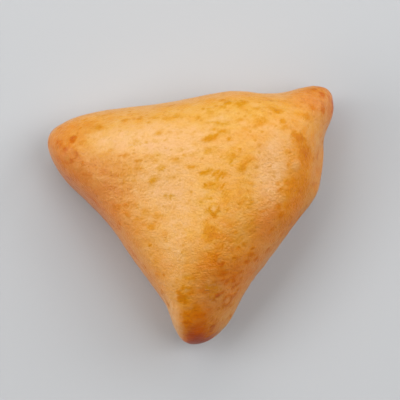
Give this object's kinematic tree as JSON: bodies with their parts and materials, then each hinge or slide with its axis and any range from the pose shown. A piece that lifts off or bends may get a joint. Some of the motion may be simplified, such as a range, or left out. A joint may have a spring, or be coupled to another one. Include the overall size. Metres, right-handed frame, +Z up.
{
  "type": "baked piroshki",
  "caption": "Triangular baked bun of yeast dough with a closed filling, pinched to corners and resting on its flat underside.",
  "frame": {"origin": "middle of the bounding box of the plan, at the flat base", "axes": "+Z up, +X along the longest side of the triangular plan, towards its narrow pinched corner, -Y towards the front corner"},
  "size_m": [0.1136, 0.1024, 0.041],
  "materials": {
    "baked_crust": "golden baked crust, browned at the corners, with small blisters and a soft sheen"
  },
  "bodies": {
    "root": {"piroshki": "baked_crust"}
  },
  "joints": []
}
